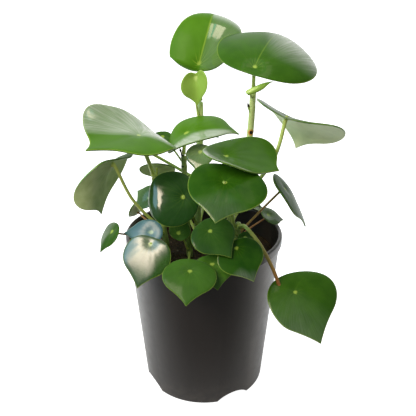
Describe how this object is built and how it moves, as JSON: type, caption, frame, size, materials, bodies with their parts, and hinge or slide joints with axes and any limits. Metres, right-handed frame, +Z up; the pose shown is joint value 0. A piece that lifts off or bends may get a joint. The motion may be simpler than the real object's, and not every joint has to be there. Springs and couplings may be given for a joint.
{
  "type": "potted peperomia",
  "caption": "Raindrop peperomia with round glossy green leaves on long petioles in a charcoal plastic nursery pot.",
  "frame": {"origin": "on the pot's axis, at the flat underside of its foot", "axes": "+Z up along the pot's axis, -Y toward the front of the plant, +X to its right"},
  "size_m": [0.2283, 0.2003, 0.3287],
  "materials": {
    "pot_plastic": "satin charcoal",
    "soil": "rough",
    "stem": "satin",
    "leaf": "waxy",
    "young_leaf": "waxy"
  },
  "bodies": {
    "root": {"pot": "pot_plastic", "soil": "soil", "stem_middle": "stem", "stem_tall": "stem", "stem_front": "stem", "stem_left": "stem", "stem_right": "stem", "leaf_01": "leaf", "leaf_02": "young_leaf", "leaf_03": "leaf", "leaf_04": "leaf", "leaf_05": "leaf", "leaf_06": "leaf", "leaf_07": "leaf", "leaf_08": "leaf", "leaf_09": "leaf", "leaf_10": "leaf", "leaf_11": "leaf", "leaf_12": "leaf", "leaf_13": "leaf", "leaf_14": "leaf", "leaf_15": "leaf", "leaf_16": "leaf", "leaf_17": "leaf", "leaf_18": "leaf", "leaf_19": "leaf", "leaf_20": "leaf", "leaf_21": "leaf", "leaf_22": "leaf", "leaf_23": "leaf", "leaf_24": "leaf", "leaf_25": "leaf", "leaf_26": "leaf", "leaf_27": "leaf", "leaf_28": "leaf", "leaf_29": "leaf", "leaf_30": "leaf", "leaf_31": "leaf", "leaf_32": "leaf", "leaf_33": "leaf", "leaf_34": "young_leaf"}
  },
  "joints": []
}
